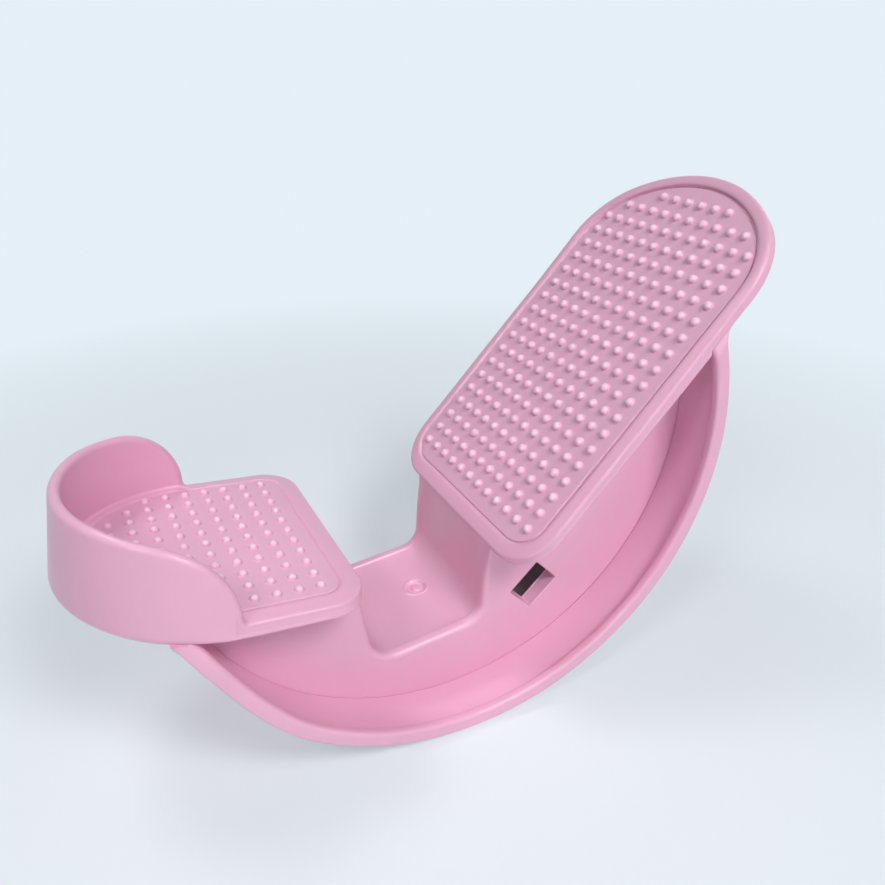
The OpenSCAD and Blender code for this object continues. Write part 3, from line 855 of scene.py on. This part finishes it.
def saddle_path(g):
    """The saddle's side drawing, from the heel deck down, across and up to the toe tray, moved out by g."""
    lean, out, floor = along(90 + SADDLE_LEAN), along(180 + SADDLE_LEAN), along(SADDLE_RISE)
    floor_at = floor_middle(g)
    heel_at = np.array([SADDLE_HEEL, HEEL_DECK]) + out * g
    rise = along(90 + SADDLE_TOE_LEAN)
    side = along(SADDLE_TOE_LEAN)
    wall_at = np.array([SADDLE_TOE, SADDLE_DEPTH + WALL_FOOT]) + side * g
    heel_foot = floor_at + floor * (((heel_at - floor_at) @ out) / (floor @ out))
    toe_foot = floor_at + floor * (((wall_at - floor_at) @ side) / (floor @ side))
    a0, ac, a1 = corner(heel_foot, lean, floor, SADDLE_HEEL_R + g)
    b0, bc, b1 = corner(toe_foot, -floor, rise, SADDLE_TOE_R + g)
    heel_top = heel_at + lean * ((HEEL_DECK - heel_at[1]) / lean[1])
    tray, across = along(math.degrees(TOE_ANGLE)), along(math.degrees(TOE_ANGLE) + 90)
    reach = (UPSTAND_T - toe_foot @ tray) / (rise @ tray)
    reach = min(reach, (UPSTAND_W - toe_foot @ across) / (rise @ across))
    toe_top = toe_foot + rise * reach
    toe_edge = tray * UPSTAND_T + across * (toe_top @ across)
    gate = gate_centre(g)
    near, after = gate - floor * GATE_R, gate + floor * GATE_R
    wall, bend = SADDLE_HEEL_STEPS
    path = steps(heel_top, a0, wall) + arc2(ac, a0, a1, bend)[1:]
    before, behind = SADDLE_FLOOR_STEPS
    path += steps(a1, near, before)[1:] + steps(near, after, GATE_STEPS)[1:] + steps(after, b0, behind)[1:]
    bend, wall = SADDLE_TOE_STEPS
    return path + arc2(bc, b0, b1, bend)[1:] + steps(b1, toe_top, wall)[1:] + [toe_edge]


SLOT = (46.4, -66.2)
SLOT_TURN = math.radians(48.5)
SLOT_L = 17.2
SLOT_W = 15.0
SLOT_CORNER_STEPS = 4


def slot_ring(grow, r):
    """The link slot's rounded rectangle in the side drawing."""
    hl, hw = SLOT_L / 2 + grow - r, SLOT_W / 2 + grow - r
    pts = []
    for sx, sy, a in ((1, 1, 0), (-1, 1, 90), (-1, -1, 180), (1, -1, 270)):
        pts += ring_points((sx * hl, sy * hw), r, a, a + 90, SLOT_CORNER_STEPS)
    c, s = math.cos(SLOT_TURN), math.sin(SLOT_TURN)
    return [(SLOT[0] + x * c - y * s, SLOT[1] + x * s + y * c) for x, y in pts]


# Rings of the slot from the wall inwards: growth, corner radius, distance from the middle plane
SLOT_RINGS = [(0.9, 1.5, 34.0), (0.42, 1.02, 34.0), (0.16, 0.76, 33.9), (0.03, 0.63, 33.7),
              (0.0, 0.6, 33.4), (0.0, 0.6, 27.8), (-0.06, 0.54, 27.62), (-0.25, 0.5, 27.6),
              (-0.3, 0.5, 27.5), (-0.3, 0.5, 27.0), (8.0, 3.0, 26.6), (8.0, 3.0, 2.0)]
# Rings from this one on belong to the chamber, which takes the hollow's painted shade.
SLOT_SHADE_FROM = 9


def gate_depth(x, y):
    r = math.hypot(x, y)
    return float(np.interp(r, [p[0] for p in GATE], [p[1] for p in GATE]))


def saddle_columns():
    """(y, g) across the saddle, from lip to lip."""
    middle = [(y, FLOOR_G) for y in steps(GATE_AT[1] - GATE_R, GATE_AT[1] + GATE_R, GATE_STEPS)]
    near, far = [[(y, FLOOR_G) for y in part] for part in FLOOR_COLUMNS]
    return [(-y, g) for y, g in reversed(LIPS)] + near + middle + far + LIPS


def saddle_rows(columns):
    """The saddle's surface: a row of points across the body for each point of its side drawing.

    At the top of the toe wall the lips draw back under the tray.
    """
    paths = {g: saddle_path(g) for _, g in columns}
    tucked = saddle_path(TUCK_G)
    count = len(tucked)
    gate = gate_centre(FLOOR_G)
    normal = along(SADDLE_RISE + 90)
    rows = []
    for i in range(count):
        row = []
        for y, g in columns:
            p = paths[g][i]
            if g < TUCK_G:
                p = mix(p, tucked[i], ease((i - count + 2) / TUCK_ROWS + 1.0))
            off = y - GATE_AT[1]
            away = float(np.linalg.norm(p - gate))
            if abs(off) < GATE_R and away < GATE_R:
                p = p - normal * gate_depth(away, off)
            row.append((p[0], y, p[1]))
        rows.append(row)
    return rows


def body_rest(top):
    """The rest of the side drawing: the toe deck, the arc and the heel deck, from end to start of top."""
    deck_foot = toe_point(UPSTAND_T, TOE_DECK)
    step_foot, step_top = toe_point(DECK_STEP, TOE_DECK), toe_point(DECK_STEP, DECK_TOP)
    toe_end = toe_point(math.sqrt(BODY_R ** 2 - DECK_TOP ** 2), DECK_TOP)
    heel_end = np.array([-math.sqrt(BODY_R ** 2 - HEEL_DECK ** 2), HEEL_DECK])
    rest = []
    for a, b in ((top[-1], deck_foot), (deck_foot, step_foot), (step_foot, step_top)):
        rest += steps(a, b, DECK_STEPS)[1:]
    rest += steps(step_top, toe_end, TOE_DECK_STEPS)[1:]
    start, stop = math.atan2(toe_end[1], toe_end[0]), math.atan2(heel_end[1], heel_end[0])
    turn = (stop - start) % (-2 * math.pi)
    for k in range(1, ARC_STEPS + 1):
        a = start + turn * k / ARC_STEPS
        rest.append(BODY_R * np.array([math.cos(a), math.sin(a)]))
    return rest + steps(heel_end, top[0], HEEL_DECK_STEPS)[1:-1]


def build_body():
    shell = Shell()
    ids = shell.loft(saddle_rows(saddle_columns()), closed=False)
    top = saddle_path(SIDE_G)
    rest = body_rest(top)
    spots = top + rest
    outline = np.array(spots)
    sides = []
    for side, column in ((1, -1), (-1, 0)):
        edge = [row[column] for row in ids]
        more = shell.add([(p[0], side * BODY_HALF, p[1]) for p in rest])
        stack = [[(x, side * y, z) for x, z in slot_ring(grow, r)] for grow, r, y in SLOT_RINGS]
        tunnel = shell.loft(stack[:SLOT_SHADE_FROM + 1])
        # The chamber behind the slot is coloured with the hollow's painted shade.
        shell.second = True
        chamber = shell.loft(stack[SLOT_SHADE_FROM:])
        shell.face(chamber[-1])
        shell.second = False
        loops = [[(p[0], p[1], i) for p, i in zip(spots, edge + more)],
                 [(p[0], p[2], i) for p, i in zip(stack[0], tunnel[0])]]
        hole = np.array([(p[0], p[2]) for p in stack[0]])
        shell.fill(loops, lambda x, z, side=side: (x, side * BODY_HALF, z),
                   lambda x, z, hole=hole: inside(outline, x, z) and not inside(hole, x, z))
        sides.append(more)
    left, right = sides
    for k in range(len(rest) - 1):
        shell.face((left[k], left[k + 1], right[k + 1], right[k]))
    shell.face(ids[-1] + [left[0], right[0]])
    shell.face(ids[0] + [left[-1], right[-1]])
    return make("centre_body_shell", shell, from_arc, shell_pink, SHARP_BODY, hollow_painted_shade)


# Runner
SOLE_R = 112.0
EDGE_H = 6.2
SOLE_T = 3.8
SOLE_HALF = 58.2
HEEL_NARROW = (-64.0, -92.0, 53.4)
HEEL_CLOSE = (-96.0, -106.0, 50.6)
FLARE_FROM = -56.0
FLARE_OUT = 3.6
FLARE_END = -67.3
FLARE_BEND = 1.8
LEVEL_FROM = -63.0
ARC_END = 112.0
ARC_END_IN = 112.2
END_GAP = 0.3
GROOVE_GAP = 0.04
HEEL_TURNS = 18
TREAD_TURNS = 104
TOE_TURNS = 36
TOE_NARROW = 0.3
PAD_LOW = -48.0
PAD_SPAN = 2.0
SEAT = 0.9
LIP_FROM = 4
TREAD = (37.9, 50.1)
TREAD_DEEP = 1.3
TREAD_SPAN = (-56.4, 67.8)
HUB = np.array([107.73, -57.25])
TOE_END = -47.25
FILLET_R = 10.0
FILLET_STEPS = 12


def on_arc(r, phi):
    """A point of the side drawing at an angle from straight down."""
    t = math.radians(phi)
    return np.array([r * math.sin(t), -r * math.cos(t)])


def sole_radius(phi):
    """The sole's arc, flaring outwards just under the heel tray."""
    v = clamp((FLARE_FROM - phi) / (FLARE_FROM - FLARE_END))
    return SOLE_R + FLARE_OUT * v ** FLARE_BEND


def sole_half(x):
    """Half the sole's width: narrower towards the heel end."""
    half = SOLE_HALF
    for start, stop, narrow in (HEEL_NARROW, HEEL_CLOSE):
        half = mix(half, narrow, share(x, (start, stop)))
    return half


def runner_stations():
    """(outer point, lip-top point, tread groove open, half width) from the heel end to the toe end."""
    lip_r = SOLE_R - EDGE_H
    r = sole_radius(FLARE_END)
    out_x = -math.sqrt(r ** 2 - HEEL_DECK ** 2)
    in_x = -math.sqrt((r - EDGE_H) ** 2 - HEEL_DECK ** 2)
    in_phi = math.degrees(math.atan2(in_x, -HEEL_DECK))
    out = [(np.array([out_x, HEEL_DECK]), np.array([in_x, HEEL_DECK]), False, sole_half(out_x))]
    low, high = TREAD_SPAN
    turns = steps(FLARE_END + END_GAP, low - GROOVE_GAP, HEEL_TURNS) + steps(low, high, TREAD_TURNS)
    turns += steps(high + GROOVE_GAP, ARC_END, TOE_TURNS)
    for phi in turns:
        inner = phi
        if phi < LEVEL_FROM:
            inner = mix(in_phi, LEVEL_FROM, (phi - FLARE_END) / (LEVEL_FROM - FLARE_END))
        r = sole_radius(phi)
        spot = on_arc(r, phi)
        half = sole_half(spot[0]) if phi < 0 else SOLE_HALF
        out.append((spot, on_arc(r - EDGE_H, inner), low <= phi <= high, half))
    deg = math.degrees(TOE_ANGLE)
    end = deg + math.degrees(math.atan2(math.sqrt(lip_r ** 2 - TOE_END ** 2), -TOE_END))
    start = math.degrees(math.atan2(-HUB[1], -HUB[0])) % 360
    for k, a in enumerate(steps(start, 90, FILLET_STEPS)):
        spot = HUB + FILLET_R * along(a)
        inner = mix(ARC_END_IN, end, k / FILLET_STEPS)
        half = mix(SOLE_HALF, TOE_HALF - TOE_NARROW, ease(k / FILLET_STEPS))
        out.append((toe_point(*spot), on_arc(lip_r, inner), False, half))
    return out


def runner_section(hw, groove, pad):
    """Half of the sole's section from the middle underneath, round the lip, to the middle inside."""
    a, b = TREAD
    g = TREAD_DEEP if groove else 0.0
    t = SOLE_T
    seat = t - SEAT
    under = [(0, 0), (6, 0), (14, 0), (20, 0), (26, 0), (32, 0), (a - 0.5, 0), (a, 0), (a, g), (44, g),
             (b, g), (b, 0), (min(b + 0.4, hw - 1.0), 0), (hw - 0.9, 0), (hw - 0.56, 0.07),
             (hw - 0.26, 0.26), (hw - 0.07, 0.56), (hw, 0.9), (hw, 1.5), (hw, 4.2), (hw, 4.7)]
    lip = [(hw - 0.11, 5.27), (hw - 0.44, 5.76), (hw - 0.93, 6.09), (hw - 1.5, 6.2), (hw - 2.5, 6.2),
           (hw - 3.2, 6.18), (hw - 3.6, 6.02), (hw - 3.86, 5.72), (hw - 3.98, 5.3), (hw - 4.05, t + 0.6),
           (hw - 4.2, t + 0.28), (hw - 4.45, t + 0.08), (hw - 4.8, t), (hw - 5.8, t), (44, t), (37, t),
           (35.2, t), (34.6, t), (34.4, t - 0.03), (34.25, t - 0.12), (34.15, t - 0.28), (34.06, seat)]
    lip = [(y, mix(h, EDGE_H, pad) if k >= LIP_FROM else h) for k, (y, h) in enumerate(lip)]
    return under + lip + [(33.96, seat), (26, seat), (14, seat), (0, seat)]


def build_runner():
    shell = Shell()
    rows = []
    for outer, inner, groove, hw in runner_stations():
        pad = ease((outer[1] - PAD_LOW) / PAD_SPAN + 0.5) if outer[0] < 0 else 0.0
        loop = both_sides(runner_section(hw, groove, pad))
        spots = [(y, outer + (inner - outer) * (h / EDGE_H)) for y, h in loop]
        rows.append([(p[0], y, p[1]) for y, p in spots])
    shell.solid(rows)
    return make("runner_shell", shell, from_arc, shell_pink, SHARP_BODY)


# Tread strips
TREAD_MID = 44.0
RIB_STEP = 1.5
STRIP_HALF = 6.0
STRIP_LOW = 1.2
STRIP_OUT = -0.8
RIB_DEEP = 0.55
RIB_CREST = 0.36
RIB_FOOT = 0.48
STRIP_SPAN = 62.0


def strip_section(top):
    """Half section of a strip: width and depth from the sole's outside, negative outwards."""
    w = STRIP_HALF
    return [(0, STRIP_LOW), (w, STRIP_LOW), (w, top + 0.45), (w - 0.12, top + 0.15), (w - 0.45, top),
            (w - 1.5, top), (0, top)]


def build_strip(name, side):
    shell = Shell()
    middle = math.degrees(LEAN)
    ribs = int(STRIP_SPAN / RIB_STEP)
    marks = [(-STRIP_SPAN, False)]
    for k in range(-ribs, ribs + 1):
        at = k * RIB_STEP
        marks += [(at - RIB_FOOT, False), (at - RIB_CREST, True)]
        marks += [(at + RIB_CREST, True), (at + RIB_FOOT, False)]
    marks.append((STRIP_SPAN, False))
    marks = [m for m in marks if -STRIP_SPAN <= m[0] <= STRIP_SPAN]
    rows = []
    for turn, high in marks:
        loop = both_sides(strip_section(STRIP_OUT if high else STRIP_OUT + RIB_DEEP))
        spots = [(y, on_arc(SOLE_R - h, middle + turn)) for y, h in loop]
        rows.append([(p[0], side * TREAD_MID + y, p[1]) for y, p in spots])
    shell.solid(rows)
    return make(name, shell, from_arc, tread_rubber, SHARP_BODY)


# Sole screws
SOLE_ANGLES = (-42, 4, 50)
SCREW_Y = 20.0
HEAD_SINK = 0.3
HEAD = [(1.95, 0.0), (2.3, 0.06), (2.58, 0.22), (2.75, 0.48), (2.8, 0.8), (2.8, 1.5), (1.5, 1.5),
        (1.5, 13.5)]
HEAD_SIDES = 40
CROSS_ARM = 1.45
CROSS_HALF = 0.36
CROSS_DEEP = 1.1
CROSS_TAPER = 0.62
SPIN_FIRST = 0.4
SPIN_ROW = 0.9
SPIN_SIDE = 0.5
SINK = [(3.4, -0.5), (3.2, 0.0), (2.9, 0.3), (2.9, 1.9)]
SINK_SIDES = 48


def cross_ring(scale, spin):
    """The cross recess's outline, turned by an angle."""
    a, h = CROSS_ARM * scale, CROSS_HALF * scale
    out = []
    for k in range(4):
        t = math.pi / 2 * k
        for x, y in ((a, -h), (a, h), (h, h)):
            out.append((x * math.cos(t) - y * math.sin(t), x * math.sin(t) + y * math.cos(t)))
    c, s = math.cos(spin), math.sin(spin)
    return [(x * c - y * s, x * s + y * c) for x, y in out]


def to_sole(points, angle, side, sink):
    """Moves points drawn about a screw's axis to its place on the sole."""
    out = on_arc(1.0, angle)
    moved = []
    for x, y, z in points:
        r = SOLE_R - sink - z
        moved.append((out[0] * r - out[1] * x, side * SCREW_Y + y, out[1] * r + out[0] * x))
    return moved


def build_sole_screws():
    shell = Shell()
    for number, angle in enumerate(SOLE_ANGLES):
        for side in (-1, 1):
            first = len(shell.verts)
            spin = SPIN_FIRST + SPIN_ROW * number + SPIN_SIDE * side
            rows = turned(HEAD, HEAD_SIDES)
            ids = shell.loft(rows)
            shell.face(ids[-1])
            mouth, floor = cross_ring(1.0, spin), cross_ring(CROSS_TAPER, spin)
            recess = shell.loft([[(x, y, 0.0) for x, y in mouth], [(x, y, CROSS_DEEP) for x, y in floor]])
            shell.face(recess[-1])
            loops = [[(x, y, i) for (x, y, _), i in zip(rows[0], ids[0])],
                     [(x, y, i) for (x, y), i in zip(mouth, recess[0])]]
            hole = np.array(mouth)
            shell.fill(loops, lambda x, y: (x, y, 0.0), lambda x, y: not inside(hole, x, y))
            shell.verts[first:] = to_sole(shell.verts[first:], angle, side, HEAD_SINK)
    return make("sole_screw_set", shell, from_arc, screw_steel, SHARP_BODY)


def build_recess_tools():
    """Cutters for the sole screws' sunk heads."""
    tools = []
    for angle in SOLE_ANGLES:
        for side in (-1, 1):
            shell = Shell()
            shell.solid(turned(SINK, SINK_SIDES))
            shell.verts = to_sole(shell.verts, angle, side, 0.0)
            tools.append(make("recess_tool", shell, from_arc, shell_pink))
    return tools


heel_tray = build_tray("heel_tray_shell", heel_sections(), from_heel)
stand_for(heel_tray, "heel_tray")
toe_tray = build_tray("toe_tray_shell", [toe_section(*s) for s in toe_outline()], from_toe)
stand_for(toe_tray, "toe_tray")
heel_mat, toe_mat = build_mats()
stand_for(heel_mat, "heel_nub_mat")
stand_for(toe_mat, "toe_nub_mat")
stand_for(build_body(), "centre_body")
runner = build_runner()
cut(runner, build_recess_tools())
smooth(runner, SHARP_BODY)
stand_for(runner, "rocker_runner")
stand_for(build_strip("left_tread", 1), "left_tread_strip")
stand_for(build_strip("right_tread", -1), "right_tread_strip")
stand_for(build_sole_screws(), "runner_screws")

for name in ("heel_tray_screws", "toe_tray_screws"):
    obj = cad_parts[name]
    obj.data.materials.clear()
    obj.data.materials.append(screw_steel)

# Stage
FLOOR_TONE = (0.86, 0.90, 0.93)
SKY_TONE = (0.78, 0.865, 0.93)
FLOOR_FADE = (0.15, 0.55)
FLOOR_LIFT = 0.45
FLOOR_RINGS = (9000.0, 2000.0, 600.0)
FLOOR_SIDES = 96
AMBIENT = 0.04
OPEN = 180
# Softboxes: name, bearing, elevation, size in metres, watts, grid angle
SOFTBOXES = [("right_box", 285, 48, 0.5, 14.8, OPEN), ("front_box", 260, 20, 0.6, 4.0, OPEN),
             ("left_box", 215, 48, 0.4, 0.32, 40), ("top_box", 122, 66, 0.5, 0.40, 40)]
BOX_FAR = 1.6
AIM = Vector((0.0, 0.0, 0.09))
GRID_AIM = Vector((-0.06, -0.02, 0.06))
SENSOR = 36.0
LENS = 33.03
CLIP = (0.01, 50.0)
CAMERA_AT = (-0.1234, -0.2701, 0.2575)
CAMERA_WAY = (0.4006, 0.794, -0.4571)
CAMERA_RIGHT = (0.8923, -0.451, -0.0006)


def seen_directly(tree):
    """One where a camera, mirror or glass ray looks, zero for light that falls on things."""
    path = tree.nodes.new("ShaderNodeLightPath")
    last = path.outputs["Is Camera Ray"]
    for kind in ("Is Glossy Ray", "Is Transmission Ray"):
        most = tree.nodes.new("ShaderNodeMath")
        most.operation = "MAXIMUM"
        tree.links.new(last, most.inputs[0])
        tree.links.new(path.outputs[kind], most.inputs[1])
        last = most.outputs[0]
    return last


def build_floor():
    shell = Shell()
    ids = shell.loft(turned([(r, 0.0) for r in FLOOR_RINGS], FLOOR_SIDES))
    shell.face(ids[-1])
    m = Nodes("pale_floor")
    m.feed("Base Color", m.blend(m.noise(scale=3.0), FLOOR_TONE, shade(FLOOR_TONE, gain=1.02)))
    m.fix("Roughness", 0.7)
    m.fix("Specular IOR Level", 0.2)
    far = m.node("ShaderNodeVectorMath", operation="LENGTH")
    m.join(m.spot, far.inputs[0])
    fade = m.ramp(far.outputs["Value"], FLOOR_LIFT, 1.0, *FLOOR_FADE)
    glow = m.node("ShaderNodeEmission")
    glow.inputs["Color"].default_value = (*SKY_TONE, 1.0)
    both = m.node("ShaderNodeMixShader")
    m.join(m.scaled(fade, seen_directly(m.tree)), both.inputs[0])
    m.join(m.shader.outputs[0], both.inputs[1])
    m.join(glow.outputs[0], both.inputs[2])
    m.join(both.outputs[0], m.tree.nodes["Material Output"].inputs["Surface"])
    floor = make("floor", shell, lambda p: as_points(p) * MM, m.material)


def area_light(name, place, target, size, watts, grid):
    """A square softbox; its grid's angle narrows the beam."""
    lamp = bpy.data.lights.new(name, "AREA")
    lamp.shape = "SQUARE"
    lamp.size = size
    lamp.energy = watts
    lamp.spread = math.radians(grid)
    obj = bpy.data.objects.new(name, lamp)
    bpy.context.scene.collection.objects.link(obj)
    obj.location = place
    obj.rotation_euler = (Vector(target) - Vector(place)).to_track_quat("-Z", "Y").to_euler()


def build_world():
    world = bpy.data.worlds.new("studio")
    bpy.context.scene.world = world
    world.use_nodes = True
    tree = world.node_tree
    tree.nodes.clear()
    ambient = tree.nodes.new("ShaderNodeBackground")
    ambient.inputs["Color"].default_value = (1.0, 1.0, 1.0, 1.0)
    ambient.inputs["Strength"].default_value = AMBIENT
    shown = tree.nodes.new("ShaderNodeBackground")
    shown.inputs["Color"].default_value = (*SKY_TONE, 1.0)
    shown.inputs["Strength"].default_value = 1.0
    choose = tree.nodes.new("ShaderNodeMixShader")
    tree.links.new(seen_directly(tree), choose.inputs[0])
    tree.links.new(ambient.outputs[0], choose.inputs[1])
    tree.links.new(shown.outputs[0], choose.inputs[2])
    out = tree.nodes.new("ShaderNodeOutputWorld")
    tree.links.new(choose.outputs[0], out.inputs["Surface"])


def build_camera():
    lens = bpy.data.cameras.new("camera")
    lens.sensor_width = SENSOR
    lens.lens = LENS
    lens.clip_start, lens.clip_end = CLIP
    obj = bpy.data.objects.new("camera", lens)
    bpy.context.scene.collection.objects.link(obj)
    forward = Vector(CAMERA_WAY).normalized()
    right = Vector(CAMERA_RIGHT)
    right = (right - forward * right.dot(forward)).normalized()
    up = right.cross(forward)
    turn = Matrix((right, up, -forward)).transposed()
    obj.matrix_world = Matrix.Translation(CAMERA_AT) @ turn.to_4x4()
    bpy.context.scene.camera = obj


build_floor()
build_world()
for name, bearing, rise, size, watts, grid in SOFTBOXES:
    flat = along(bearing) * math.cos(math.radians(rise))
    way = Vector((flat[0], flat[1], math.sin(math.radians(rise))))
    aim = AIM if grid == OPEN else GRID_AIM
    area_light(name, aim + way * BOX_FAR, aim, size, watts, grid)
build_camera()
bpy.context.scene.view_settings.view_transform = "Standard"
